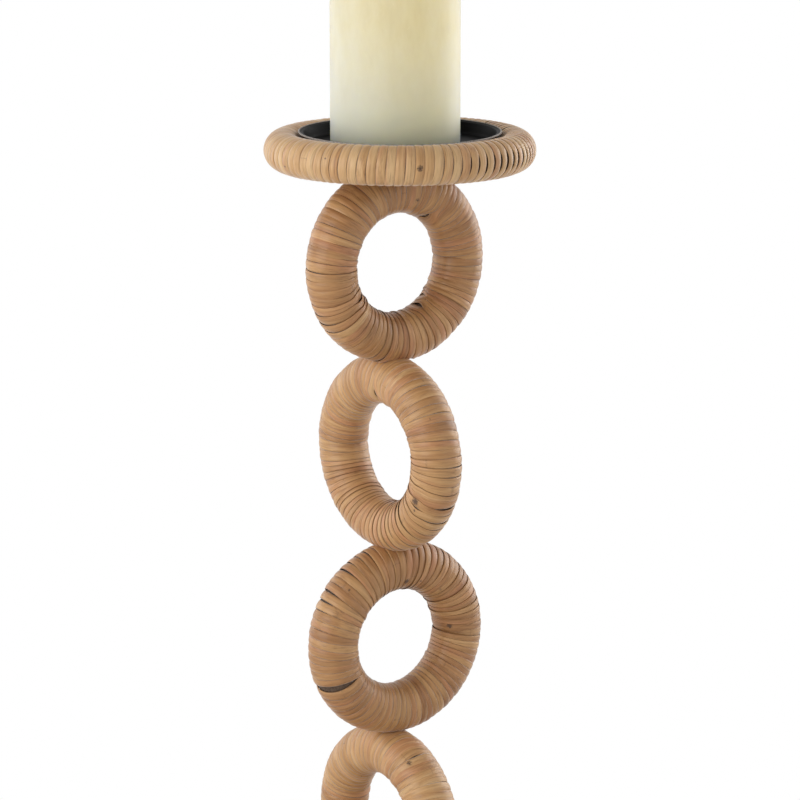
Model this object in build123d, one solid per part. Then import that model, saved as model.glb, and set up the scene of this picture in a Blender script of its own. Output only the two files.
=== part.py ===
from build123d import *
import math
import os

# A tall stand for a pillar candle. Four rings bound with cane stand on edge,
# one on the other, each turned a quarter turn from the one below. The top
# ring carries a round tray, the bottom ring stands on a round foot, and both
# of these have the same cane-bound rim. A black metal pan lies in the tray,
# and the candle stands loose in the pan.
#
# Millimetres. +Z is up, and the origin is on the table at the middle of the
# foot. Rings 1 and 3, counted from the top, lie near the XZ plane, and rings
# 2 and 4 near the YZ plane.

os.makedirs("parts", exist_ok=True)

# Rings on edge
ring_count = 4
ring_radius = 44.8          # middle of the tube
ring_tube_radius = 15.0     # over the cane
ring_core_apothem = 12.2    # eight-sided wooden core under the cane
ring_core_count = 16        # straight bars that the core is mitred from
ring_turns = 24             # turns of the binding that the solid shows
ring_strip_facets = 10      # flats of one turn
groove_depth = 0.6          # between two turns, below their crowns
core_sides = 8
joint_seat_depth = 2.6      # cane pressed flat where two rings meet
lowest_joint_seat_depth = 1.4
board_seat_depth = 1.6      # and where a ring meets the tray or the foot
even_ring_offset_x = -3.0   # rings 2 and 4 stand a little out of line
even_ring_offset_y = 2.3
odd_ring_turn = -2.9        # and no ring stands quite square, degrees about Z
even_ring_turn = 1.7

# Rims of the tray and the foot
rim_tube_radius = 11.5
rim_core_apothem = 9.0
rim_core_count = 20
rim_turns = 24
rim_strip_facets = 10
tray_ring_radius = 68.2
foot_ring_radius = 77.5
tray_offset_x = 2.2         # the tray sits a little out of line as well
tray_offset_y = -1.7
board_sunk_depth = 2.6      # board face below the rim's top or above its bottom
board_fit = 0.25            # board edge to the cane of its rim

# Foot
rim_ground_gap = 1.2        # cane clear of the table
felt_thickness = 2.0
felt_inset = 1.0            # felt edge inside the weight's edge
weight_thickness = 5.0
weight_rim_gap = 4.0        # weight's edge to the cane of the foot's rim

# Drip pan
pan_thickness = 1.2
pan_floor_rise = 3.8        # floor above the middle of the tray's rim
pan_rim_gap = 2.1           # floor's edge to the cane of the tray's rim
pan_depth = 7.6             # floor to lip
pan_lip_reach = 3.1         # how far the lip laps over the rim
pan_lip_drop = 1.4
pan_corner = 1.6            # slant between the floor and the wall
pan_wall_lean = 2.4         # how far the wall leans out

# Candle
candle_radius = 38.1
candle_height = 152.4
candle_shoulder = 2.0       # slant of the softened top edge
candle_stand_gap = 0.2
wick_radius = 1.2
wick_above = 9.0
wick_fit = 0.05

# Screws and dowels
screw_radius = 2.5
screw_fit = 0.1
screw_point = 4.0
screw_tip_radius = 0.4
screw_bite = 16.0           # how far the long screws reach into a ring
dowel_radius = 4.0
dowel_length = 24.0
dowel_fit = 0.05
head_radius = 4.8
head_height = 2.9

cut_over = 1.0              # how far a cut runs past what it cuts

# Heights that follow from these sizes
ring_reach = ring_radius + ring_tube_radius
foot_mid_z = rim_ground_gap + rim_tube_radius
foot_seat_z = foot_mid_z + rim_tube_radius - board_sunk_depth


def reach_below(number):
    """A ring's middle down to its lower seat, with ring 1 at the top."""
    if number == ring_count:
        return ring_reach - board_seat_depth
    if number == ring_count - 1:
        return ring_reach - lowest_joint_seat_depth
    return ring_reach - joint_seat_depth


def reach_above(number):
    """A ring's middle up to its upper seat."""
    if number == 1:
        return ring_reach - board_seat_depth
    return reach_below(number - 1)


def ring_height(number):
    """Height of a ring's middle."""
    under = [reach_below(lower) + reach_above(lower) for lower in range(number + 1, ring_count + 1)]
    return foot_seat_z + sum(under) + reach_below(number)


def ring_place(number):
    """Where a ring lies, and how it is turned up on edge."""
    on_edge = Rot(X=90)
    if number % 2:
        return Pos(0, 0, ring_height(number)) * Rot(Z=odd_ring_turn) * on_edge
    spot = Pos(even_ring_offset_x, even_ring_offset_y, ring_height(number))
    return spot * Rot(Z=90 + even_ring_turn) * on_edge


tray_seat_z = ring_height(1) + reach_above(1)
tray_mid_z = tray_seat_z + rim_tube_radius - board_sunk_depth
weight_top_z = felt_thickness + weight_thickness
pan_floor_z = tray_mid_z + pan_floor_rise
tray_board_top_z = pan_floor_z - pan_thickness
candle_bottom_z = pan_floor_z + candle_stand_gap
tray_place = Pos(tray_offset_x, tray_offset_y, 0)


def on_circle(radius, share, height=0):
    """Point on a level circle about Z, part of the way round."""
    angle = 2 * math.pi * share
    return Vector(radius * math.cos(angle), radius * math.sin(angle), height)


def bound_tube(radius, tube_radius, turns, facets):
    """Ring bound with one unbroken strip. Each turn has a crown along its
    middle and a groove at its edge, and it moves on along the ring by its own
    width while it goes once round the tube."""
    rows = 2 * turns
    corner_share = 1 / math.cos(math.pi / facets)
    reach_share = (1 + corner_share) / 2

    def corner(row, facet):
        depth = 0 if row % 2 else groove_depth
        reach = (tube_radius - depth) * reach_share
        round_tube = 2 * math.pi * (facet + 0.5) / facets
        out = radius + reach * math.cos(round_tube)
        return on_circle(out, (row / 2 + facet / facets) / turns, reach * math.sin(round_tube))

    grid = [[corner(row, facet) for facet in range(facets)] for row in range(rows)]
    for row in range(rows):
        grid[row].append(grid[(row + 2) % rows][0])
    triangles = []
    for row in range(rows):
        near = grid[row]
        far = grid[(row + 1) % rows]
        for facet in range(facets):
            triangles.append((near[facet], far[facet], far[facet + 1]))
            triangles.append((near[facet], far[facet + 1], near[facet + 1]))
    return Solid(Shell([Face(Wire.make_polygon(corners)) for corners in triangles]))


def core_ring(radius, apothem, count):
    """Wooden core: short eight-sided bars, mitred into a ring."""
    corners = [on_circle(radius, (k + 0.5) / count) for k in range(count)]
    middle = (corners[-1] + corners[0]) / 2
    path = Polyline(middle, *corners, close=True)
    across = Plane(origin=middle, x_dir=(1, 0, 0), z_dir=(0, 1, 0))
    turn = 180 / core_sides
    bar = RegularPolygon(apothem, core_sides, major_radius=False, rotation=turn)
    return sweep(across * bar, path=path, transition=Transition.RIGHT)


def disc(radius, bottom_z, top_z):
    """Round plate between two heights."""
    flat = Cylinder(radius, top_z - bottom_z, align=(Align.CENTER, Align.CENTER, Align.MIN))
    return Pos(0, 0, bottom_z) * flat


def turned(points):
    """Solid of revolution about Z from radius and height points."""
    outline = make_face(Polyline(*[(r, 0, z) for r, z in points], close=True))
    return revolve(outline, Axis.Z)


def long_screw(head_z, tip_z):
    """Countersunk wood screw pointing down from its head."""
    neck_z = head_z - head_height
    return turned([
        (0, head_z),
        (head_radius, head_z),
        (screw_radius, neck_z),
        (screw_radius, tip_z + screw_point),
        (screw_tip_radius, tip_z),
        (0, tip_z),
    ])


def screw_hole(bottom_z, top_z):
    """Round hole that a screw's shank fills."""
    return disc(screw_radius + screw_fit, bottom_z, top_z)


def joint_spot(upper):
    """Middle of the seat between a ring and the one under it."""
    seat_z = ring_height(upper) - reach_below(upper)
    return Pos(even_ring_offset_x / 2, even_ring_offset_y / 2, seat_z)


# Dowels between the rings
half_dowel = dowel_length / 2
joint_spots = [joint_spot(upper) for upper in range(1, ring_count)]
joint_dowels = [spot * disc(dowel_radius, -half_dowel, half_dowel) for spot in joint_spots]
dowel_hole = disc(dowel_radius + dowel_fit, -half_dowel, half_dowel)
joint_holes = [spot * dowel_hole for spot in joint_spots]

# Screws through the tray and the foot
foot_spot = Pos(even_ring_offset_x / 2, even_ring_offset_y / 2, 0)
tray_screw = tray_place * long_screw(pan_floor_z, tray_seat_z - screw_bite)
tray_screw_hole = tray_place * screw_hole(tray_seat_z - screw_bite, pan_floor_z)
foot_screw_top_z = foot_seat_z + screw_bite
foot_screw_down = long_screw(0, felt_thickness - foot_screw_top_z)
foot_screw = foot_spot * Pos(0, 0, felt_thickness) * foot_screw_down.rotate(Axis.X, 180)
foot_screw_hole = foot_spot * screw_hole(felt_thickness, foot_screw_top_z)

# Rings: cane binding and wooden core
flat_core = core_ring(ring_radius, ring_core_apothem, ring_core_count)
flat_wrap = bound_tube(ring_radius, ring_tube_radius, ring_turns, ring_strip_facets) - flat_core
slab_width = 2 * (ring_reach + cut_over)


def between_seats(number):
    """Slab between a ring's two seats, for the ring lying flat."""
    high = reach_above(number)
    low = reach_below(number)
    return Pos(0, (high - low) / 2, 0) * Box(slab_width, high + low, slab_width)


ring_nodes = {}
for number in range(1, ring_count + 1):
    above = tray_screw_hole if number == 1 else joint_holes[number - 2]
    below = foot_screw_hole if number == ring_count else joint_holes[number - 1]
    seated_wrap = flat_wrap & between_seats(number)
    ring_nodes[f"ring_{number}_wrap"] = ring_place(number) * seated_wrap - above - below
    ring_nodes[f"ring_{number}_core"] = ring_place(number) * flat_core - above - below


# Rims of the tray and the foot
def rim(radius):
    """Cane binding and wooden core of a rim lying flat at height zero."""
    core = core_ring(radius, rim_core_apothem, rim_core_count)
    return bound_tube(radius, rim_tube_radius, rim_turns, rim_strip_facets) - core, core


def rim_inside(radius):
    """Clear radius inside a rim's cane."""
    return radius - rim_tube_radius


tray_wrap, tray_core = [tray_place * Pos(0, 0, tray_mid_z) * ring for ring in rim(tray_ring_radius)]
foot_wrap, foot_core = [Pos(0, 0, foot_mid_z) * ring for ring in rim(foot_ring_radius)]

# Tray board
tray_board = tray_place * disc(rim_inside(tray_ring_radius) - board_fit, tray_seat_z, tray_board_top_z)
tray_board = tray_board - tray_screw_hole - tray_screw

# Drip pan
lip_z = pan_floor_z + pan_depth
pan_floor_radius = rim_inside(tray_ring_radius) - pan_rim_gap
pan_lip_radius = rim_inside(tray_ring_radius) + pan_lip_reach
wall_foot_radius = pan_floor_radius - pan_corner
wall_top_radius = pan_floor_radius + pan_wall_lean
pan = turned([
    (0, pan_floor_z),
    (wall_foot_radius, pan_floor_z),
    (pan_floor_radius, pan_floor_z + pan_corner),
    (wall_top_radius, lip_z),
    (pan_lip_radius, lip_z),
    (pan_lip_radius, lip_z - pan_lip_drop),
    (wall_foot_radius + pan_thickness, tray_board_top_z),
    (0, tray_board_top_z),
])
drip_pan = tray_place * pan - tray_screw

# Foot board, weight, felt
weight_radius = rim_inside(foot_ring_radius) - weight_rim_gap
foot_board = disc(rim_inside(foot_ring_radius) - board_fit, weight_top_z, foot_seat_z) - foot_screw_hole
foot_weight = disc(weight_radius, felt_thickness, weight_top_z) - foot_screw
foot_felt = disc(weight_radius - felt_inset, 0, felt_thickness)

# Candle and wick
candle_top_z = candle_bottom_z + candle_height
candle_body = disc(candle_radius, candle_bottom_z, candle_top_z)
candle_body = chamfer(candle_body.edges().sort_by(Axis.Z)[-1], candle_shoulder)
candle_body -= disc(wick_radius + wick_fit, candle_bottom_z, candle_top_z)
candle_wick = disc(wick_radius, candle_bottom_z, candle_top_z + wick_above)

nodes = {
    "pillar_candle": candle_body,
    "candle_wick": candle_wick,
    "drip_pan": drip_pan,
    "tray_board": tray_board,
    "tray_wrap": tray_wrap,
    "tray_core": tray_core,
    "board_screws": Compound([tray_screw, foot_screw]),
    "joint_dowels": Compound(joint_dowels),
    "foot_wrap": foot_wrap,
    "foot_core": foot_core,
    "foot_board": foot_board,
    "foot_weight": foot_weight,
    "foot_felt": foot_felt,
}
nodes.update(ring_nodes)
for name, shape in nodes.items():
    export_step(shape, f"parts/{name}.step")
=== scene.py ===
import math
import bmesh
import bpy
from mathutils import Matrix, Vector

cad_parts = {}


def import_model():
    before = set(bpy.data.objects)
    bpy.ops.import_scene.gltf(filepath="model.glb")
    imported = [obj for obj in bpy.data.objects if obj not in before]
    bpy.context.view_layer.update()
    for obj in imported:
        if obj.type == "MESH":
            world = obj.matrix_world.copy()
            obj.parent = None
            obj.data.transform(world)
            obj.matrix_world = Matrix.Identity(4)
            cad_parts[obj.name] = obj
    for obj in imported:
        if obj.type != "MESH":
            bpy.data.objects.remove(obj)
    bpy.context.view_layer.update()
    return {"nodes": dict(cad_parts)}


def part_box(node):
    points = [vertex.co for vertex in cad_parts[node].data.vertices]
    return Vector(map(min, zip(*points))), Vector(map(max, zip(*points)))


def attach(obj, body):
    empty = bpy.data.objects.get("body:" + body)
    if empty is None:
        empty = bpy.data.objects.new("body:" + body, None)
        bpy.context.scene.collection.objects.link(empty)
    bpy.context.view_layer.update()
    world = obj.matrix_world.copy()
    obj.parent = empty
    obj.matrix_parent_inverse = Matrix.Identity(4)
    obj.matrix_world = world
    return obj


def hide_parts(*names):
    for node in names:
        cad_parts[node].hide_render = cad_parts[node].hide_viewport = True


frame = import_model()

# Lengths in metres and turns in degrees. Places come from the frame.
MM = 0.001
TAU = 2 * math.pi
RING_RADIUS = 44.8 * MM     # to the middle of the tube, also for the tray and the foot
TRAY_RADIUS = 68.2 * MM
FOOT_RADIUS = 76.6 * MM
RING_TUBE = 15.0 * MM       # radius of a ring's tube
RIM_TUBE = 11.5 * MM        # radius of the tube of the tray and the foot
ODD_TURN = -2.9             # rings 1 and 3, away from the XZ plane
EVEN_TURN = 1.7             # rings 2 and 4, away from the YZ plane
BOARD_SEAT = 1.6 * MM       # how deep a ring is pressed flat at a board
JOINT_SEAT = 2.6 * MM       # and at another ring
LOWEST_JOINT_SEAT = 1.4 * MM
# As seen in the photograph: to the right, and from the stand to the camera
RIGHT = Vector((0.802, -0.598, 0))
BACK = Vector((-0.598, -0.802, 0))


def middle(node):
    """Middle of a CAD node's box."""
    low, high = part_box(node)
    return (Vector(low) + Vector(high)) / 2


class Field:
    """A number inside a node tree, so that sums can be written as sums."""

    def __init__(self, tree, socket):
        self.tree = tree
        self.socket = socket

    def fill(self, target, value):
        if isinstance(value, Field):
            self.tree.links.new(value.socket, target)
        else:
            target.default_value = value

    def math(self, operation, *others):
        node = self.tree.nodes.new("ShaderNodeMath")
        node.operation = operation
        for target, value in zip(node.inputs, (self,) + others):
            self.fill(target, value)
        return Field(self.tree, node.outputs[0])

    def __add__(self, other):
        return self.math("ADD", other)

    def __sub__(self, other):
        return self.math("SUBTRACT", other)

    def __mul__(self, other):
        return self.math("MULTIPLY", other)

    def __truediv__(self, other):
        return self.math("DIVIDE", other)

    def sin(self):
        return self.math("SINE")

    def cos(self):
        return self.math("COSINE")

    def size(self):
        return self.math("ABSOLUTE")

    def ramp(self, start, end):
        """Smooth rise from 0 at start to 1 at end."""
        node = self.tree.nodes.new("ShaderNodeMapRange")
        node.interpolation_type = "SMOOTHSTEP"
        self.fill(node.inputs["Value"], self)
        self.fill(node.inputs["From Min"], start)
        self.fill(node.inputs["From Max"], end)
        return Field(self.tree, node.outputs["Result"])

    def noise(self, seed, detail=1.0):
        """Smooth random number, about -1 to 1, that follows this one."""
        node = self.tree.nodes.new("ShaderNodeTexNoise")
        node.noise_dimensions = "1D"
        self.fill(node.inputs["W"], self + seed)
        node.inputs["Scale"].default_value = 1.0
        node.inputs["Detail"].default_value = detail
        return Field(self.tree, node.outputs[0]) * 3.0 - 1.5


# Cane winding
AROUND = 54                 # steps of the strip in one turn round the tube
SECTION = 15                # points across the strip's section, top and back
TOP_SHARE = 11.5 / 14       # share of the section that makes the top
PARTINGS = 5                # most seams that stand apart on one ring
SCARS = 4                   # most knots on one ring
STRIP_THICKNESS = 0.6 * MM
SKIN_ROOM = 0.1 * MM        # from the tube's radius to the strip's top, without laps and lumps
END_TURNS = 0.3             # turns in which the strip runs to a point at its ends
END_DEPTH = 1.0 * MM        # how deep its ends are tucked in
CLOSING_TURNS = 9.0         # turns in which slow drift dies away at its ends
SEAM_TURNS = 4.5            # turns beside a parted seam that make room for it
SEAT_HALF = 7.5 * MM        # half the width that a seat presses flat
SEAT_EDGE = 12.5 * MM       # where the seat has let go
SEAT_RISE = 2.6 * MM        # how much higher the strip may stand there
LAYER_DEPTH = 1.5 * MM      # from the strip's top down to the dark sheet of painted shade
LAYER_SEAT_DEPTH = 0.6 * MM     # the same at a seat
MERGED = 0.002 * MM         # points nearer than this become one
NO_SCAR_TURN = -5.0         # a turn before the strip starts
WINDING_SIZES = (
    "Ring Radius", "Tube Radius", "Strip Width", "Strip Thickness", "Crown", "Crown Power", "Lap Outside",
    "Lap Inside", "Wander", "Twist", "Bunching", "Dense Angle", "Width Spread", "Lumps", "Upper Seat",
    "Lower Seat", "Open Turn", "Open Length", "Open Share", "Paleness", "Seed",
)


def winding_tree():
    """One long strip wound round a ring-shaped tube. It starts as a flat grid
    with the strip's length along X and its closed section along Y."""
    tree = bpy.data.node_groups.new("Cane winding", "GeometryNodeTree")
    tree.interface.new_socket("Geometry", in_out="OUTPUT", socket_type="NodeSocketGeometry")
    tree.interface.new_socket("Turns", in_out="INPUT", socket_type="NodeSocketInt")
    floats = list(WINDING_SIZES)
    for k in range(PARTINGS):
        floats += [f"Parting Turn {k + 1}", f"Parting Width {k + 1}", f"Parting Length {k + 1}"]
    for k in range(SCARS):
        floats += [f"Scar Turn {k + 1}", f"Scar Size {k + 1}"]
    for name in floats:
        tree.interface.new_socket(name, in_out="INPUT", socket_type="NodeSocketFloat")
    for name in ("Cane", "Gap Shade"):
        tree.interface.new_socket(name, in_out="INPUT", socket_type="NodeSocketMaterial")

    def new(kind, **values):
        node = tree.nodes.new(kind)
        for name, value in values.items():
            setattr(node, name, value)
        return node

    link = tree.links.new
    given = new("NodeGroupInput")

    def value(name):
        return Field(tree, given.outputs[name])

    turns = value("Turns")
    seed = value("Seed")
    grid = new("GeometryNodeMeshGrid")
    link(turns.socket, grid.inputs["Size X"])
    grid.inputs["Size Y"].default_value = 1.0
    link((turns * AROUND + 1).socket, grid.inputs["Vertices X"])
    grid.inputs["Vertices Y"].default_value = SECTION
    place = new("ShaderNodeSeparateXYZ")
    link(new("GeometryNodeInputPosition").outputs[0], place.inputs[0])
    turn = Field(tree, place.outputs["X"]) + turns * 0.5
    section = Field(tree, place.outputs["Y"]) + 0.5

    # Section: crowned on top, flat underneath, closed at the edge
    under = section.math("GREATER_THAN", TOP_SHARE)
    over = under * -1 + 1
    back = (section - TOP_SHARE) / (1 - TOP_SHARE)
    across = (section * (2 / TOP_SHARE) - 1) * over + (back * -2 + 1) * under
    ends = turn.ramp(0.0, END_TURNS) * ((turns - turn).ramp(0.0, END_TURNS))
    across = across * ends
    height = across.size().math("POWER", value("Crown Power")) * value("Crown") * -1
    height = height - value("Strip Thickness") * (back * math.pi).sin() * under * ends

    # Way of the strip round the tube, with small shifts, twists and pulls.
    # Each noise has its own number added to the seed.
    round_tube = turn * TAU + math.pi
    outside = round_tube.cos()
    inside = outside * -0.5 + 0.5
    drift = (turn * 1.7).noise(seed) * value("Wander")
    drift = drift + (turn * 0.21).noise(seed + 37.0) * value("Twist") * (turn * TAU + seed).sin()
    drift = drift - (turn / turns * TAU - value("Dense Angle")).sin() * value("Bunching")
    closing = turn.ramp(0.0, CLOSING_TURNS) * (turns - turn).ramp(0.0, CLOSING_TURNS)
    drift = drift + (turn * 0.085).noise(seed + 71.0) * closing * value("Bunching") * 0.3
    for k in range(PARTINGS):
        # The passes before and after a seam stand apart, and less with distance
        away = turn - value(f"Parting Turn {k + 1}")
        side = away.math("GREATER_THAN", 0.0) - 0.5
        near = away.size().ramp(0.0, SEAM_TURNS) * -1 + 1
        length = value(f"Parting Length {k + 1}")
        here = (away.math("FRACT") - 0.5).size().ramp(0.0, length) * -1 + 1
        drift = drift + side * near * here * value(f"Parting Width {k + 1}")
    width = value("Strip Width") * ((turn * 0.61).noise(seed + 13.0) * value("Width Spread") + 1)
    # Narrower round the opened place, on the outside of the tube only
    near_open = (turn - value("Open Turn")).size().ramp(0.0, value("Open Length")) * -1 + 1
    uneven = (turn * 1.3).noise(seed + 47.0) * 0.6 + 1
    width = width * (near_open * value("Open Share") * uneven * outside.ramp(0.80, 1.0) * -1 + 1)
    lap = value("Lap Outside") + (value("Lap Inside") - value("Lap Outside")) * inside
    lap = lap * ((turn * 0.9).noise(seed + 29.0) * 0.6 + 1)
    rise = ((turn * 1.1).noise(seed + 5.0) + (turn * 0.19).noise(seed + 61.0)) * value("Lumps")
    tucked = (ends * -1 + 1) * END_DEPTH
    tube = value("Tube Radius") + height - across * lap + rise - tucked
    reach = value("Ring Radius") + tube * outside
    angle = (turn + drift) / turns * TAU + across * width * 0.5 / reach

    # Pressed flat where another ring or a board sits on it
    x = reach * angle.cos()
    y = reach * angle.sin()
    free = x.size().ramp(SEAT_HALF, SEAT_EDGE) * SEAT_RISE + height * 0.3
    y = y.math("MINIMUM", free + value("Upper Seat"))
    y = y.math("MAXIMUM", (free + value("Lower Seat")) * -1)
    joined = new("ShaderNodeCombineXYZ")
    for target, part in zip(joined.inputs, (x, y, tube * round_tube.sin())):
        link(part.socket, target)

    shape = grid.outputs["Mesh"]
    kept = {
        "along": turn * value("Tube Radius") * TAU,
        "across": across,
        "tone": (turn * 0.57).noise(seed + 91.0, 2.0),
        "edge": (turn * 2.3).noise(seed + 53.0, 2.0),
        # Paleness: partly the cane's own tone, partly painted light that lightens or darkens a whole piece as
        # it is lit
        "pale": (turn * 0.11).noise(seed + 17.0) * 0.45 + value("Paleness"),
    }
    # A knot sits in the middle of the part of the strip that shows. The
    # nearest knot counts, so "scar" starts at a number that is far from all.
    shown = reach * TAU / turns / width
    off = (across + lap.math("SIGN") * (shown * -1 + 1)) * width * 0.5
    kept["scar"] = turn * 0 + 9
    for k in range(SCARS):
        away = (turn - value(f"Scar Turn {k + 1}")) * value("Tube Radius") * TAU
        knot = value(f"Scar Size {k + 1}")
        kept["scar"] = kept["scar"].math("MINIMUM", (away * away + off * off) / (knot * knot))
    for name, number in kept.items():
        store = new("GeometryNodeStoreNamedAttribute", data_type="FLOAT", domain="POINT")
        store.inputs["Name"].default_value = name
        link(shape, store.inputs["Geometry"])
        link(number.socket, store.inputs["Value"])
        shape = store.outputs[0]
    moved = new("GeometryNodeSetPosition")
    link(shape, moved.inputs["Geometry"])
    link(joined.outputs[0], moved.inputs["Position"])
    merged = new("GeometryNodeMergeByDistance")
    merged.inputs["Distance"].default_value = MERGED
    link(moved.outputs[0], merged.inputs["Geometry"])
    strip = new("GeometryNodeStoreNamedAttribute", data_type="BOOLEAN", domain="FACE")
    strip.inputs["Name"].default_value = "strip"
    strip.inputs["Value"].default_value = True
    link(merged.outputs[0], strip.inputs["Geometry"])

    # Dark sheet under the strips, seen in the gaps: painted shade that stands in for the shade between strips
    circle = new("GeometryNodeCurvePrimitiveCircle")
    circle.inputs["Resolution"].default_value = 96
    link(given.outputs["Ring Radius"], circle.inputs["Radius"])
    bar = new("GeometryNodeCurvePrimitiveCircle")
    bar.inputs["Resolution"].default_value = 32
    link((value("Tube Radius") - LAYER_DEPTH).socket, bar.inputs["Radius"])
    swept = new("GeometryNodeCurveToMesh")
    link(circle.outputs[0], swept.inputs["Curve"])
    link(bar.outputs[0], swept.inputs["Profile Curve"])
    place = new("ShaderNodeSeparateXYZ")
    link(new("GeometryNodeInputPosition").outputs[0], place.inputs[0])
    y = Field(tree, place.outputs["Y"])
    y = y.math("MINIMUM", value("Upper Seat") - LAYER_SEAT_DEPTH)
    y = y.math("MAXIMUM", (value("Lower Seat") - LAYER_SEAT_DEPTH) * -1)
    joined = new("ShaderNodeCombineXYZ")
    for target, source in zip(joined.inputs, (place.outputs["X"], y.socket, place.outputs["Z"])):
        link(source, target)
    pressed = new("GeometryNodeSetPosition")
    link(swept.outputs[0], pressed.inputs["Geometry"])
    link(joined.outputs[0], pressed.inputs["Position"])

    both = new("GeometryNodeJoinGeometry")
    link(strip.outputs[0], both.inputs[0])
    link(pressed.outputs[0], both.inputs[0])
    smooth = new("GeometryNodeSetShadeSmooth")
    link(both.outputs[0], smooth.inputs["Geometry"])
    is_strip = new("GeometryNodeInputNamedAttribute", data_type="BOOLEAN")
    is_strip.inputs["Name"].default_value = "strip"
    gap_shade_node = new("GeometryNodeSetMaterial")
    link(smooth.outputs[0], gap_shade_node.inputs["Geometry"])
    link(given.outputs["Gap Shade"], gap_shade_node.inputs["Material"])
    cane = new("GeometryNodeSetMaterial")
    link(gap_shade_node.outputs[0], cane.inputs["Geometry"])
    link(is_strip.outputs["Attribute"], cane.inputs["Selection"])
    link(given.outputs["Cane"], cane.inputs["Material"])
    result = new("NodeGroupOutput")
    link(cane.outputs[0], result.inputs[0])
    return tree


def baked(name, tree, values, place):
    """Run a node tree once and keep its result as a plain mesh piece, set
    down by a matrix."""
    carrier = bpy.data.objects.new(name, bpy.data.meshes.new(name))
    bpy.context.scene.collection.objects.link(carrier)
    modifier = carrier.modifiers.new("Nodes", "NODES")
    modifier.node_group = tree
    for item in tree.interface.items_tree:
        if item.in_out == "INPUT" and item.name in values:
            modifier[item.identifier] = values[item.name]
    graph = bpy.context.evaluated_depsgraph_get()
    mesh = bpy.data.meshes.new_from_object(carrier.evaluated_get(graph))
    carrier.modifiers.remove(modifier)
    carrier.data = mesh
    mesh.name = name
    mesh.transform(place)
    return carrier


def piece(name, mesh, material, body, replaces):
    """New object from a mesh, riding on its body."""
    thing = bpy.data.objects.new(name, mesh)
    bpy.context.scene.collection.objects.link(thing)
    mesh.materials.append(material)
    hand_over(thing, body, replaces)


def hand_over(thing, body, replaces):
    """Set a piece on its body, and hide the CAD node that it stands for."""
    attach(thing, body)
    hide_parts(replaces)


# Materials
class Finish:
    """A material whose colour, roughness and bump are written as steps."""

    def __init__(self, name, **values):
        self.material = bpy.data.materials.new(name)
        self.material.use_nodes = True
        self.tree = self.material.node_tree
        self.shader = self.tree.nodes["Principled BSDF"]
        for socket, value in values.items():
            self.shader.inputs[socket.replace("_", " ")].default_value = value

    def new(self, kind, **values):
        node = self.tree.nodes.new(kind)
        for name, value in values.items():
            setattr(node, name, value)
        return node

    def link(self, source, target):
        if isinstance(source, Field):
            source = source.socket
        self.tree.links.new(source, target)

    def attribute(self, name):
        node = self.new("ShaderNodeAttribute", attribute_name=name)
        return Field(self.tree, node.outputs["Fac"])

    def position(self, scale=(1, 1, 1)):
        """Object coordinates, stretched."""
        source = self.new("ShaderNodeTexCoord")
        mapping = self.new("ShaderNodeMapping")
        mapping.inputs["Scale"].default_value = scale
        self.link(source.outputs["Object"], mapping.inputs["Vector"])
        return mapping.outputs["Vector"]

    def vector(self, *parts):
        node = self.new("ShaderNodeCombineXYZ")
        for target, part in zip(node.inputs, parts):
            if isinstance(part, Field):
                self.link(part, target)
            else:
                target.default_value = part
        return node.outputs[0]

    def noise(self, vector, scale, detail=2.0, roughness=0.5, distortion=0.0):
        node = self.new("ShaderNodeTexNoise")
        self.link(vector, node.inputs["Vector"])
        node.inputs["Scale"].default_value = scale
        node.inputs["Detail"].default_value = detail
        node.inputs["Roughness"].default_value = roughness
        node.inputs["Distortion"].default_value = distortion
        return Field(self.tree, node.outputs[0])

    def ramp(self, number, stops):
        """Colours along a number: (position, colour) pairs."""
        node = self.new("ShaderNodeValToRGB")
        self.link(number, node.inputs[0])
        elements = node.color_ramp.elements
        while len(elements) < len(stops):
            elements.new(0.5)
        for element, (position, colour) in zip(elements, stops):
            element.position = position
            element.color = (*colour, 1)
        return node.outputs[0]

    def mix(self, amount, first, second, blend="MIX"):
        node = self.new("ShaderNodeMix", data_type="RGBA", blend_type=blend)
        if isinstance(amount, Field):
            self.link(amount, node.inputs[0])
        else:
            node.inputs[0].default_value = amount
        for target, colour in ((node.inputs[6], first), (node.inputs[7], second)):
            if isinstance(colour, tuple):
                target.default_value = (*colour, 1)
            else:
                self.link(colour, target)
        return node.outputs[2]

    def colour(self, source):
        self.link(source, self.shader.inputs["Base Color"])

    def rough(self, number, low, high):
        """Roughness from low to high along a number from 0 to 1."""
        node = self.new("ShaderNodeMapRange")
        self.link(number, node.inputs["Value"])
        node.inputs["To Min"].default_value = low
        node.inputs["To Max"].default_value = high
        self.link(node.outputs[0], self.shader.inputs["Roughness"])

    def bump(self, number, depth, strength):
        node = self.new("ShaderNodeBump")
        node.inputs["Strength"].default_value = strength
        node.inputs["Distance"].default_value = depth
        self.link(number, node.inputs["Height"])
        self.link(node.outputs[0], self.shader.inputs["Normal"])


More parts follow.
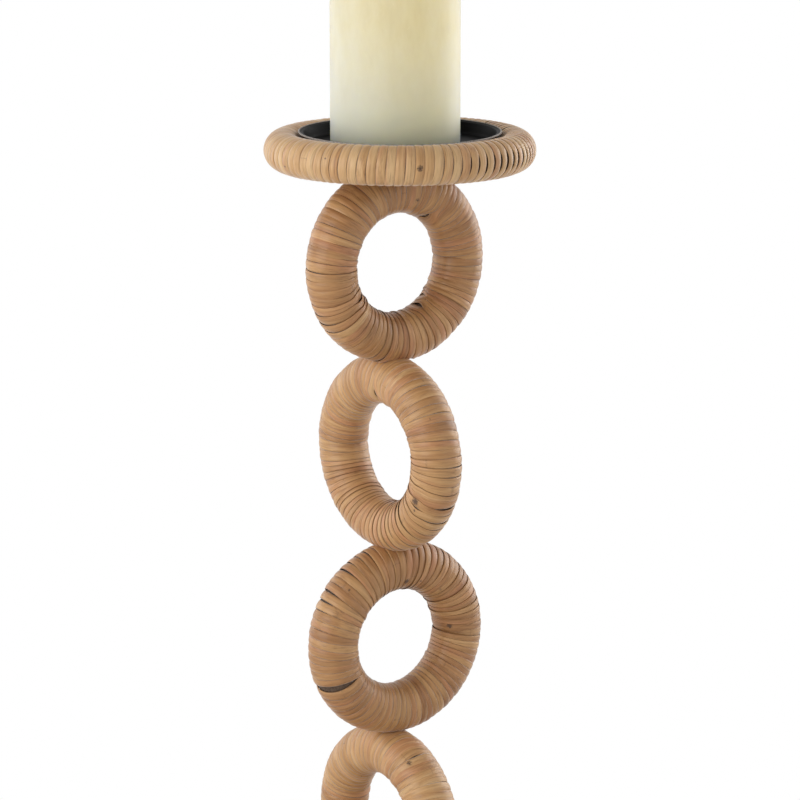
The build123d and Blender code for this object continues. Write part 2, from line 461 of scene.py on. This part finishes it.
def varnished_cane():
    """Cane that takes its marks from the winding: metres along the strip, -1
    to 1 across it, and slow random numbers along it."""
    finish = Finish("Varnished cane", Specular_IOR_Level=0.35, Coat_Weight=0.22, Coat_Roughness=0.24,
                    Sheen_Weight=0.38, Sheen_Roughness=0.30)
    along = finish.attribute("along")
    across = finish.attribute("across")
    tone = finish.attribute("tone")
    edge = finish.attribute("edge")
    pale = finish.attribute("pale")
    flow = finish.vector(along * 28.0, across * 2.6, tone * 3.0)
    fibre = finish.noise(flow, 3.2, 4.0, 0.62)
    band = finish.noise(finish.vector(along * 9.0, across * 1.5, tone * 2.0 + 3.0), 1.6, 3.0, 0.6)
    cloud = finish.noise(finish.vector(along * 24.0, across * 0.5, tone), 1.0, 3.0, 0.6)
    body = tone * 0.17 + cloud * 0.55 + band * 0.30 + pale * 0.16 + 0.06
    colour = finish.ramp(body, [
        (0.22, (0.275, 0.120, 0.040)),
        (0.42, (0.420, 0.210, 0.080)),
        (0.58, (0.525, 0.290, 0.120)),
        (0.80, (0.665, 0.435, 0.220)),
    ])
    pink = finish.noise(finish.vector(along * 13.0, across * 0.3, tone + 7.0), 1.0, 2.0, 0.5)
    colour = finish.mix(pink.ramp(0.50, 0.68) * 0.55, colour, (0.500, 0.222, 0.105))
    colour = finish.mix(pink.ramp(0.48, 0.34) * 0.35, colour, (0.560, 0.340, 0.148))
    streak = finish.ramp(fibre * 0.6 + band * 0.4, [
        (0.32, (0.52, 0.47, 0.42)), (0.48, (0.96, 0.95, 0.94)), (0.68, (1.16, 1.17, 1.16))])
    colour = finish.mix(0.95, colour, streak, "MULTIPLY")
    # Nodes of the cane: a thin line across the strip, and dark knots
    node_step = 310 * MM
    spot = ((along + tone * 0.05) / node_step).math("FRACT") * node_step
    crooked = finish.noise(finish.vector(along * 420.0, across * 3.0, tone), 1.0, 2.0, 0.6)
    line = (spot - 4 * MM + (crooked - 0.5) * (2 * MM)).size().ramp(0.2 * MM, 0.8 * MM) * -1 + 1
    line = line * crooked.ramp(0.35, 0.6) * 0.45
    fleck = finish.noise(finish.vector(along * 900.0, across * 4.5, tone), 1.0, 2.0, 0.6)
    knot = (finish.attribute("scar") + (fleck - 0.5) * 2.4).ramp(0.05, 1.25) * -1 + 1
    colour = finish.mix(line, colour, (0.150, 0.072, 0.034))
    colour = finish.mix(knot * 0.95, colour, (0.060, 0.027, 0.012))
    # Darker at the strip's two edges: partly dirt, partly painted shade in the seams between strips
    seam_dirt_and_shade = (across.size() + edge * 0.07).ramp(0.84, 1.04)
    colour = finish.mix(seam_dirt_and_shade * 0.74, colour, (0.150, 0.068, 0.027))
    finish.colour(colour)
    finish.rough(fibre, 0.42, 0.62)
    finish.bump(fibre * 0.7 + band * 0.5 + line * 0.4, 0.16 * MM, 0.6)
    return finish.material


# Painted shade: the dark sheet under the cane strips, seen in the gaps between them
def gap_shade_sheet():
    finish = Finish("Dark gap shade", Roughness=0.8)
    grain = finish.noise(finish.position(), 900.0, 3.0)
    finish.colour(finish.ramp(grain, [(0.3, (0.048, 0.028, 0.018)), (0.7, (0.150, 0.092, 0.056))]))
    finish.bump(grain, 0.2 * MM, 0.5)
    return finish.material


def pale_wax():
    finish = Finish("Pale wax", Subsurface_Weight=1.0, Subsurface_Radius=(0.225, 0.190, 0.115),
                    Subsurface_Scale=1.0, Specular_IOR_Level=0.18)
    mottle = finish.noise(finish.position(scale=(1, 1, 0.35)), 90.0, 4.0, 0.6)
    frost = finish.noise(finish.position(), 420.0, 3.0, 0.6)
    colour = finish.ramp(mottle, [
        (0.30, (0.615, 0.535, 0.372)),
        (0.52, (0.652, 0.577, 0.424)),
        (0.75, (0.678, 0.610, 0.476)),
    ])
    colour = finish.mix(frost.ramp(0.60, 0.80) * 0.35, colour, (0.720, 0.660, 0.540))
    # Paler towards the foot of the candle, and warmer near the pan: painted light that makes up for light
    # falling off low on the candle
    place = finish.new("ShaderNodeSeparateXYZ")
    finish.link(finish.position(), place.inputs[0])
    height = Field(finish.tree, place.outputs["Z"])
    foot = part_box("pillar_candle")[0][2]
    low = height.ramp(foot + 80 * MM, foot)
    colour = finish.mix(low * 0.6, colour, (0.770, 0.740, 0.600))
    # Painted light: warm pale glow low on the candle, next to the pan
    near = height.ramp(foot + 36 * MM, foot + 8 * MM)
    colour = finish.mix(near * 0.85, colour, (0.940, 0.810, 0.520))
    finish.colour(colour)
    finish.rough(mottle, 0.36, 0.52)
    finish.bump(mottle * 0.7 + frost * 0.3, 0.5 * MM, 0.25)
    return finish.material


def black_paint():
    finish = Finish("Black stoved paint", Specular_IOR_Level=0.022)
    speck = finish.noise(finish.position(), 1500.0, 2.0)
    wear = finish.noise(finish.position(), 60.0, 4.0, 0.6)
    colour = finish.ramp(wear, [(0.35, (0.0022, 0.0022, 0.0022)), (0.75, (0.0055, 0.0052, 0.0050))])
    # A pale line painted on the rolled lip: a painted highlight where the lip catches the light
    lip_highlight = finish.attribute("lip") * speck.ramp(0.25, 0.5)
    finish.colour(finish.mix(lip_highlight * 0.85, colour, (0.520, 0.480, 0.450)))
    finish.rough(wear, 0.36, 0.50)
    finish.bump(speck, 0.04 * MM, 0.3)
    return finish.material


def grained_wood(name, dark, pale):
    """Wood with its grain along Y."""
    finish = Finish(name)
    rings = finish.new("ShaderNodeTexWave", wave_type="BANDS", bands_direction="X")
    finish.link(finish.position(scale=(1, 0.06, 1)), rings.inputs["Vector"])
    rings.inputs["Scale"].default_value = 34.0
    rings.inputs["Distortion"].default_value = 14.0
    rings.inputs["Detail"].default_value = 3.0
    rings.inputs["Detail Scale"].default_value = 1.2
    pores = finish.noise(finish.position(scale=(1, 0.04, 1)), 1100.0, 3.0, 0.6)
    broad = finish.noise(finish.position(scale=(1, 0.05, 1)), 110.0, 4.0, 0.65)
    band = Field(finish.tree, rings.outputs["Fac"])
    finish.colour(finish.ramp(band * 0.16 + broad * 0.75 + pores * 0.25, [(0.38, dark), (0.78, pale)]))
    finish.rough(pores, 0.48, 0.70)
    finish.bump(pores * 0.7 + broad * 0.3, 0.1 * MM, 0.4)
    return finish.material


def zinc_steel():
    finish = Finish("Zinc-plated steel", Metallic=1.0)
    cloud = finish.noise(finish.position(), 700.0, 3.0)
    finish.colour(finish.ramp(cloud, [(0.3, (0.42, 0.42, 0.43)), (0.7, (0.62, 0.62, 0.60))]))
    finish.rough(cloud, 0.25, 0.45)
    finish.bump(cloud, 0.03 * MM, 0.3)
    return finish.material


def painted_iron():
    finish = Finish("Painted cast iron")
    grain = finish.noise(finish.position(), 500.0, 4.0, 0.65)
    finish.colour(finish.ramp(grain, [(0.3, (0.012, 0.012, 0.013)), (0.7, (0.035, 0.034, 0.034))]))
    finish.rough(grain, 0.50, 0.75)
    finish.bump(grain, 0.4 * MM, 0.5)
    return finish.material


def pressed_felt():
    finish = Finish("Pressed felt", Roughness=0.95, Sheen_Weight=0.3)
    fluff = finish.noise(finish.position(), 1300.0, 5.0, 0.7, 1.5)
    finish.colour(finish.ramp(fluff, [(0.3, (0.018, 0.015, 0.013)), (0.7, (0.055, 0.047, 0.040))]))
    finish.bump(fluff, 0.5 * MM, 0.8)
    return finish.material


def waxed_cotton():
    finish = Finish("Waxed cotton", Roughness=0.7, Subsurface_Weight=0.2,
                    Subsurface_Radius=(2 * MM, 2 * MM, 1 * MM))
    yarn = finish.noise(finish.position(scale=(1, 1, 0.5)), 2500.0, 4.0, 0.6)
    finish.colour(finish.ramp(yarn, [(0.3, (0.60, 0.54, 0.42)), (0.7, (0.80, 0.76, 0.66))]))
    finish.bump(yarn, 0.2 * MM, 0.6)
    return finish.material


CANE = varnished_cane()
GAP_SHADE = gap_shade_sheet()
WAX = pale_wax()
BLACK = black_paint()
COTTON = waxed_cotton()
STEEL = zinc_steel()
BOARD = grained_wood("Stained board", (0.150, 0.075, 0.034), (0.330, 0.180, 0.088))
CORE = grained_wood("Planed core wood", (0.330, 0.210, 0.110), (0.480, 0.330, 0.190))
DOWEL = grained_wood("Beech dowel", (0.420, 0.270, 0.150), (0.580, 0.410, 0.250))
IRON = painted_iron()
FELT = pressed_felt()


# Windings of the rings and rims
WINDING = winding_tree()


def turn_at(along_ring, round_tube, turns, bunching, dense, part=0.0):
    """Turn number of the strip's pass at a place: degrees along the ring, and
    degrees round the tube from its outside. Part 0.5 gives the next seam."""
    wanted = along_ring / 360 * turns
    number = wanted
    for _ in range(8):
        number = wanted + bunching * math.sin(TAU * number / turns - dense)
    offset = (round_tube / 360 + 0.5 + part) % 1
    return round((round(number - offset) + offset) * AROUND) / AROUND


def winding(name, place, turns, seed, ring_radius=RING_RADIUS, tube_radius=RING_TUBE, *, width, lap, pale,
            crown=0.60, power=2.3, lap_inside=0.90, wander=0.15, twist=0.34, bunching=0.5, dense=90,
            spread=0.10, lumps=0.18, seats=(1.0, 1.0), opened=(0, 1, 0.0), partings=(), scars=()):
    """Bind one ring with cane. The strip's width, crown, laps and lumps are in
    millimetres, its wander, twist and bunching in turns. Each parting is a
    place where two passes stand apart: degrees along the ring, degrees round
    the tube, width and length in turns. Each scar is a knot of the cane: the
    same two angles, and its radius in millimetres. The strips stand apart
    round the opened place: degrees along, turns, share of width. A seat a
    metre away presses nothing."""
    dense = math.radians(dense)
    values = {
        "Turns": turns, "Seed": float(seed), "Paleness": pale, "Cane": CANE, "Gap Shade": GAP_SHADE,
        "Ring Radius": ring_radius, "Tube Radius": tube_radius - SKIN_ROOM,
        "Strip Width": width * MM, "Strip Thickness": STRIP_THICKNESS,
        "Crown": crown * MM, "Crown Power": power, "Lap Outside": lap * MM, "Lap Inside": lap_inside * MM,
        "Wander": wander, "Twist": twist, "Bunching": bunching, "Dense Angle": dense,
        "Width Spread": spread, "Lumps": lumps * MM, "Upper Seat": seats[0], "Lower Seat": seats[1],
        "Open Turn": turn_at(opened[0], 0, turns, bunching, dense), "Open Length": float(opened[1]),
        "Open Share": opened[2],
    }
    for k in range(PARTINGS):
        along, round_tube, wide, long = partings[k] if k < len(partings) else (0, 0, 0.0, 0.2)
        values[f"Parting Turn {k + 1}"] = turn_at(along, round_tube, turns, bunching, dense, 0.5)
        values[f"Parting Width {k + 1}"] = wide
        values[f"Parting Length {k + 1}"] = long
    for k in range(SCARS):
        values[f"Scar Turn {k + 1}"] = NO_SCAR_TURN
        values[f"Scar Size {k + 1}"] = 1.0 * MM
        if k < len(scars):
            along, round_tube, size = scars[k]
            values[f"Scar Turn {k + 1}"] = turn_at(along, round_tube, turns, bunching, dense)
            values[f"Scar Size {k + 1}"] = size * MM
    hand_over(baked(name + "_cane", WINDING, values, place), "stand", name)


ON_EDGE = Matrix.Rotation(math.pi / 2, 4, "X")
RING_REACH = RING_RADIUS + RING_TUBE
SEATS = (BOARD_SEAT, JOINT_SEAT, JOINT_SEAT, LOWEST_JOINT_SEAT, BOARD_SEAT)     # from the tray to the foot


def ring(number, turns, seed, **more):
    """One ring stood on edge, with its two seats."""
    turned = ODD_TURN if number % 2 else 90 + EVEN_TURN
    seats = SEATS[number - 1:number + 1]
    spot = middle(f"ring_{number}_wrap")
    # Both seats cut the box unevenly, so the middle is counted from its top
    spot.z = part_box(f"ring_{number}_wrap")[1].z - (RING_REACH - seats[0])
    place = Matrix.Translation(spot) @ Matrix.Rotation(math.radians(turned), 4, "Z") @ ON_EDGE
    winding(f"ring_{number}_wrap", place, turns, seed, seats=[RING_REACH - depth for depth in seats], **more)


# Each piece's paleness is partly the cane's own tone and partly painted light for how brightly that piece is
# lit
ring(1, 72, 11, width=6.55, lap=0.20, wander=0.12, pale=-0.3, bunching=0.9, dense=80,
     partings=[(314, 191, 1.7, 0.08), (299, 173, 1.6, 0.09), (60, 158, 2.9, 0.12),
               (54, 100, 0.35, 0.16), (209, 125, 0.9, 0.09)],
     scars=[(84, 114, 1.5), (20, 60, 0.9)])
ring(2, 74, 23, width=6.3, lap=0.18, wander=0.12, pale=0.3, bunching=1.0, dense=10, opened=(203, 2.6, 0.22),
     partings=[(97, 232, 2.2, 0.12), (212, 285, 0.5, 0.07)],
     scars=[(207, 282, 2.7), (213, 290, 1.2), (152, 330, 0.9)])
ring(3, 70, 37, width=6.35, lap=-0.24, lap_inside=-0.75, wander=0.10, twist=0.18, spread=0.05, pale=-0.45,
     bunching=0.7, dense=325, opened=(138, 8, 0.10), partings=[(203, 57, 1.15, 0.44)],
     scars=[(90, 117, 2.2), (74, 117, 1.2), (4, 140, 1.9), (135, 50, 1.2)])
ring(4, 70, 41, width=6.5, lap=0.20, pale=0.6, partings=[(122, 340, 0.4, 0.14)],
     scars=[(122, 320, 1.8), (60, 300, 1.0)])
RIM_STRIP = {"width": 5.95, "crown": 0.54, "power": 2.6, "lap": 0.05, "lap_inside": 0.5, "lumps": 0.07}
winding("tray_wrap", Matrix.Translation(middle("tray_wrap")), 90, 53, TRAY_RADIUS, RIM_TUBE, **RIM_STRIP,
        wander=0.03, twist=0.10, bunching=0.2, spread=0.03, pale=1.25, opened=(296, 13, 0.24),
        scars=[(243, 0, 2.0), (200, 20, 0.9), (176, 340, 1.0)])
winding("foot_wrap", Matrix.Translation(middle("foot_wrap")), 99, 67, FOOT_RADIUS, RIM_TUBE, **RIM_STRIP,
        wander=0.04, twist=0.12, bunching=0.3, spread=0.04, pale=0.8, scars=[(230, 20, 1.4)])


# Spun pieces
def spun(name, outline, steps, spot):
    """Mesh of revolution about an upright axis at a spot. The outline's points
    are radius and height in millimetres. It starts at the axis below, goes up
    the outside, and ends at the axis."""
    made = bmesh.new()
    rows = []
    for radius, height in outline:
        if radius == 0:
            rows.append([made.verts.new((0, 0, height * MM))] * steps)
            continue
        row = []
        for k in range(steps):
            angle = TAU * k / steps
            corner = (radius * MM * math.cos(angle), radius * MM * math.sin(angle), height * MM)
            row.append(made.verts.new(corner))
        rows.append(row)
    for low, high in zip(rows, rows[1:]):
        for k in range(steps):
            after = (k + 1) % steps
            corners = [low[k], low[after], high[after], high[k]]
            unique = list(dict.fromkeys(corners))
            if len(unique) > 2:
                made.faces.new(unique)
    bmesh.ops.recalc_face_normals(made, faces=made.faces)
    for face in made.faces:
        face.smooth = True
    mesh = bpy.data.meshes.new(name)
    made.to_mesh(mesh)
    made.free()
    mesh.transform(Matrix.Translation((spot.x, spot.y, 0)))
    return mesh


def arc(centre, radius, start, end, steps):
    """Points of an arc in an outline, angles in degrees."""
    points = []
    for k in range(steps + 1):
        angle = math.radians(start + (end - start) * k / steps)
        points.append((centre[0] + radius * math.cos(angle), centre[1] + radius * math.sin(angle)))
    return points


PIECE_ROOM = 0.15           # millimetres that the spun outlines stay inside the CAD's pieces


def pan():
    """Pressed pan with a rounded corner and a thin rolled lip."""
    low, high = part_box("drip_pan")
    thickness = 1.2
    wall = 57.2             # outside of the wall at its top
    outer_corner = 3.2      # radii of the bend from the floor to the wall
    inner_corner = 2.4
    roll = 0.5              # radius of the lip's rolled edge
    lean = 0.75
    under = low[2] / MM
    floor = under + thickness
    top = high[2] / MM - PIECE_ROOM
    lip = (high[0] - low[0]) / MM / 2 - 2 * PIECE_ROOM
    spot = middle("drip_pan")
    outline = [(0, under), (20, under), (51.0, under)]
    outline += arc((53.0, under + outer_corner), outer_corner, -90, -12, 6)
    outline += [(wall, top - 2.2)]
    outline += arc((lip - roll, top - roll), roll, -80, 110, 12)
    outline += [(lip - 1.2, top - 0.45), (wall, top - 0.75)]
    outline += arc((wall - 0.2, top - 1.5), 0.7, 100, 170, 4)
    outline += arc((52.6, floor + inner_corner), inner_corner, -8, -90, 6)
    outline += [(48.0, floor), (20, floor), (0, floor)]
    mesh = spun("pan", outline, 160, spot)
    # The lip isn't quite level: lower at the front, higher at the back
    for point in mesh.vertices:
        aside = (point.co.xy - spot.xy) / (lip * MM)
        at_lip = max(0.0, (aside.length - 0.9) / 0.1)
        point.co.z -= lean * MM * aside.dot(BACK.xy) * at_lip
    # Where the painted highlight on the lip goes
    lip_highlight = mesh.attributes.new("lip", "FLOAT", "POINT")
    for point, share in zip(mesh.vertices, lip_highlight.data):
        out = math.dist(point.co.xy, spot.xy)
        share.value = float(point.co.z > (top - 1.6) * MM and out > (lip - 0.9) * MM)
    return mesh


piece("pan", pan(), BLACK, "stand", "drip_pan")


def candle():
    """Pillar of wax with rounded edges and a top dished towards the wick."""
    low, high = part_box("pillar_candle")
    bottom = low[2] / MM
    top = high[2] / MM
    radius = (high[0] - low[0]) / MM / 2 - PIECE_ROOM
    lower_edge = 1.2
    upper_edge = 3.2
    outline = [(0, bottom + 0.4), (30, bottom + 0.4), (33, bottom)]
    outline += arc((radius - lower_edge, bottom + lower_edge), lower_edge, -90, 0, 4)
    steps = 24
    outline += [(radius, bottom + 3 + (top - bottom - 8) * k / steps) for k in range(steps + 1)]
    outline += arc((radius - upper_edge, top - upper_edge), upper_edge, 10, 90, 7)
    for out, depth in ((30, 0.1), (20, 0.5), (10, 1.1), (5, 1.3), (2.2, 1.1), (1.1, 0.7), (0, 0.7)):
        outline.append((out, top - depth))
    return spun("candle", outline, 144, middle("pillar_candle"))


piece("candle", candle(), WAX, "candle", "pillar_candle")


def wick_tree():
    """Yarns twisted round each other, leaning a little at the top."""
    tree = bpy.data.node_groups.new("Twisted wick", "GeometryNodeTree")
    tree.interface.new_socket("Geometry", in_out="OUTPUT", socket_type="NodeSocketGeometry")
    tree.interface.new_socket("Yarns", in_out="INPUT", socket_type="NodeSocketInt")
    for name in ("Height", "Rotations", "Yarn Radius", "Twist Radius", "Lean"):
        tree.interface.new_socket(name, in_out="INPUT", socket_type="NodeSocketFloat")
    tree.interface.new_socket("Cotton", in_out="INPUT", socket_type="NodeSocketMaterial")
    new = tree.nodes.new
    link = tree.links.new
    given = new("NodeGroupInput")
    spiral = new("GeometryNodeCurveSpiral")
    spiral.inputs["Resolution"].default_value = 24
    link(given.outputs["Rotations"], spiral.inputs["Rotations"])
    link(given.outputs["Height"], spiral.inputs["Height"])
    link(given.outputs["Twist Radius"], spiral.inputs["Start Radius"])
    link(given.outputs["Twist Radius"], spiral.inputs["End Radius"])
    section = new("GeometryNodeCurvePrimitiveCircle")
    section.inputs["Resolution"].default_value = 10
    link(given.outputs["Yarn Radius"], section.inputs["Radius"])
    yarn = new("GeometryNodeCurveToMesh")
    yarn.inputs["Fill Caps"].default_value = True
    link(spiral.outputs[0], yarn.inputs["Curve"])
    link(section.outputs[0], yarn.inputs["Profile Curve"])
    points = new("GeometryNodeMeshLine")
    link(given.outputs["Yarns"], points.inputs["Count"])
    points.inputs["Offset"].default_value = (0, 0, 0)
    turned = new("ShaderNodeCombineXYZ")
    share = Field(tree, new("GeometryNodeInputIndex").outputs[0]) / Field(tree, given.outputs["Yarns"])
    link((share * TAU).socket, turned.inputs["Z"])
    rotation = new("FunctionNodeEulerToRotation")
    link(turned.outputs[0], rotation.inputs[0])
    spread = new("GeometryNodeInstanceOnPoints")
    link(points.outputs[0], spread.inputs["Points"])
    link(yarn.outputs[0], spread.inputs["Instance"])
    link(rotation.outputs[0], spread.inputs["Rotation"])
    real = new("GeometryNodeRealizeInstances")
    link(spread.outputs[0], real.inputs[0])
    place = new("ShaderNodeSeparateXYZ")
    link(new("GeometryNodeInputPosition").outputs[0], place.inputs[0])
    rise = (Field(tree, place.outputs["Z"]) / Field(tree, given.outputs["Height"])).math("POWER", 2.0)
    aside = new("ShaderNodeCombineXYZ")
    link((rise * Field(tree, given.outputs["Lean"])).socket, aside.inputs["X"])
    leaning = new("GeometryNodeSetPosition")
    link(real.outputs[0], leaning.inputs["Geometry"])
    link(aside.outputs[0], leaning.inputs["Offset"])
    smooth = new("GeometryNodeSetShadeSmooth")
    link(leaning.outputs[0], smooth.inputs["Geometry"])
    cotton = new("GeometryNodeSetMaterial")
    link(smooth.outputs[0], cotton.inputs["Geometry"])
    link(given.outputs["Cotton"], cotton.inputs["Material"])
    result = new("NodeGroupOutput")
    link(cotton.outputs[0], result.inputs[0])
    return tree


def wick():
    low, high = (Vector(corner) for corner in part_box("candle_wick"))
    room = 0.1 * MM
    radius = (high.x - low.x) / 2
    values = {"Yarns": 3, "Height": high.z - low.z - 2 * room, "Rotations": 4.5, "Yarn Radius": radius * 0.46,
              "Twist Radius": radius * 0.44, "Lean": radius * 0.6, "Cotton": COTTON}
    foot = middle("candle_wick")
    foot.z = low.z + room
    thing = baked("wick", wick_tree(), values, Matrix.Translation(foot))
    hand_over(thing, "candle", "candle_wick")


wick()


# CAD pieces that keep their shape
def dress(node, material):
    """Give a CAD piece its material."""
    thing = frame["nodes"][node]
    thing.data.materials.clear()
    thing.data.materials.append(material)


dress("board_screws", STEEL)
dress("joint_dowels", DOWEL)
dress("tray_board", BOARD)
dress("foot_board", BOARD)
dress("tray_core", CORE)
dress("foot_core", CORE)
for number in range(1, 5):
    dress(f"ring_{number}_core", CORE)
dress("foot_weight", IRON)
dress("foot_felt", FELT)


# Floor, light and camera
FLOOR_RADIUS = 14.0
FADE_FROM = 0.09            # distance from the stand's middle where the floor starts to fade
FADE_TO = 0.27              # and where it is white
WORLD_LIGHT = 0.30
AIM = Vector((0, 0, 0.42))  # where all the lamps point


def plainly_seen(tree):
    """1 for rays that show the backdrop itself, 0 for those that light."""
    rays = tree.nodes.new("ShaderNodeLightPath")
    seen = Field(tree, rays.outputs["Is Camera Ray"])
    for name in ("Is Glossy Ray", "Is Transmission Ray"):
        seen = seen.math("MAXIMUM", Field(tree, rays.outputs[name]))
    return seen


def floor():
    """Plain pale floor. Seen straight on it fades to white away from the
    stand, and near the stand it keeps the shadow."""
    made = bmesh.new()
    bmesh.ops.create_circle(made, cap_ends=True, radius=FLOOR_RADIUS, segments=96)
    mesh = bpy.data.meshes.new("floor")
    made.to_mesh(mesh)
    made.free()
    thing = bpy.data.objects.new("floor", mesh)
    bpy.context.scene.collection.objects.link(thing)
    material = bpy.data.materials.new("Pale floor")
    material.use_nodes = True
    tree = material.node_tree
    shader = tree.nodes["Principled BSDF"]
    shader.inputs["Base Color"].default_value = (0.86, 0.86, 0.86, 1)
    shader.inputs["Roughness"].default_value = 0.9
    shader.inputs["Specular IOR Level"].default_value = 0.1
    white = tree.nodes.new("ShaderNodeEmission")
    mixed = tree.nodes.new("ShaderNodeMixShader")
    place = tree.nodes.new("ShaderNodeTexCoord")
    length = tree.nodes.new("ShaderNodeVectorMath")
    length.operation = "LENGTH"
    tree.links.new(place.outputs["Object"], length.inputs[0])
    far = Field(tree, length.outputs["Value"]).ramp(FADE_FROM, FADE_TO)
    tree.links.new((far * plainly_seen(tree)).socket, mixed.inputs[0])
    tree.links.new(shader.outputs[0], mixed.inputs[1])
    tree.links.new(white.outputs[0], mixed.inputs[2])
    tree.links.new(mixed.outputs[0], tree.nodes["Material Output"].inputs[0])
    mesh.materials.append(material)


def world():
    """White backdrop that gives only part of its light."""
    scene_world = bpy.data.worlds.new("Studio")
    bpy.context.scene.world = scene_world
    scene_world.use_nodes = True
    tree = scene_world.node_tree
    background = tree.nodes["Background"]
    strength = plainly_seen(tree) * (1 - WORLD_LIGHT) + WORLD_LIGHT
    tree.links.new(strength.socket, background.inputs["Strength"])
    background.inputs["Color"].default_value = (1, 1, 1, 1)


def lamp(name, spot, size, power):
    """Round area lamp aimed at the stand."""
    data = bpy.data.lights.new(name, "AREA")
    data.shape = "DISK"
    data.size = size
    data.energy = power
    thing = bpy.data.objects.new(name, data)
    thing.location = spot
    thing.rotation_euler = (AIM - spot).to_track_quat("-Z", "Y").to_euler()
    thing.visible_camera = False
    bpy.context.scene.collection.objects.link(thing)


def from_camera(right, towards, up):
    """Place given as seen in the photograph: right, towards the camera, up."""
    return RIGHT * right + BACK * towards + Vector((0, 0, up))


def camera():
    """Camera fitted to the photograph."""
    down = 12.46
    data = bpy.data.cameras.new("camera")
    data.sensor_width = 36
    data.lens = 139.7
    data.clip_end = 50
    thing = bpy.data.objects.new("camera", data)
    thing.location = from_camera(0.0028, 1.8, 0.7405)
    thing.rotation_euler = (math.radians(90 - down), 0, math.atan2(-BACK.x, BACK.y) + math.pi)
    bpy.context.scene.collection.objects.link(thing)
    bpy.context.scene.camera = thing


floor()
world()
lamp("key", from_camera(-1.42, 1.05, 0.8), 1.8, 23)
lamp("fill", from_camera(1.5, 1.2, 0.9), 1.6, 5)
lamp("back_right", from_camera(1.5, -0.9, 0.7), 1.6, 20)
lamp("back_left", from_camera(-1.5, -0.9, 0.6), 1.6, 8)
camera()
bpy.context.scene.view_settings.view_transform = "Standard"
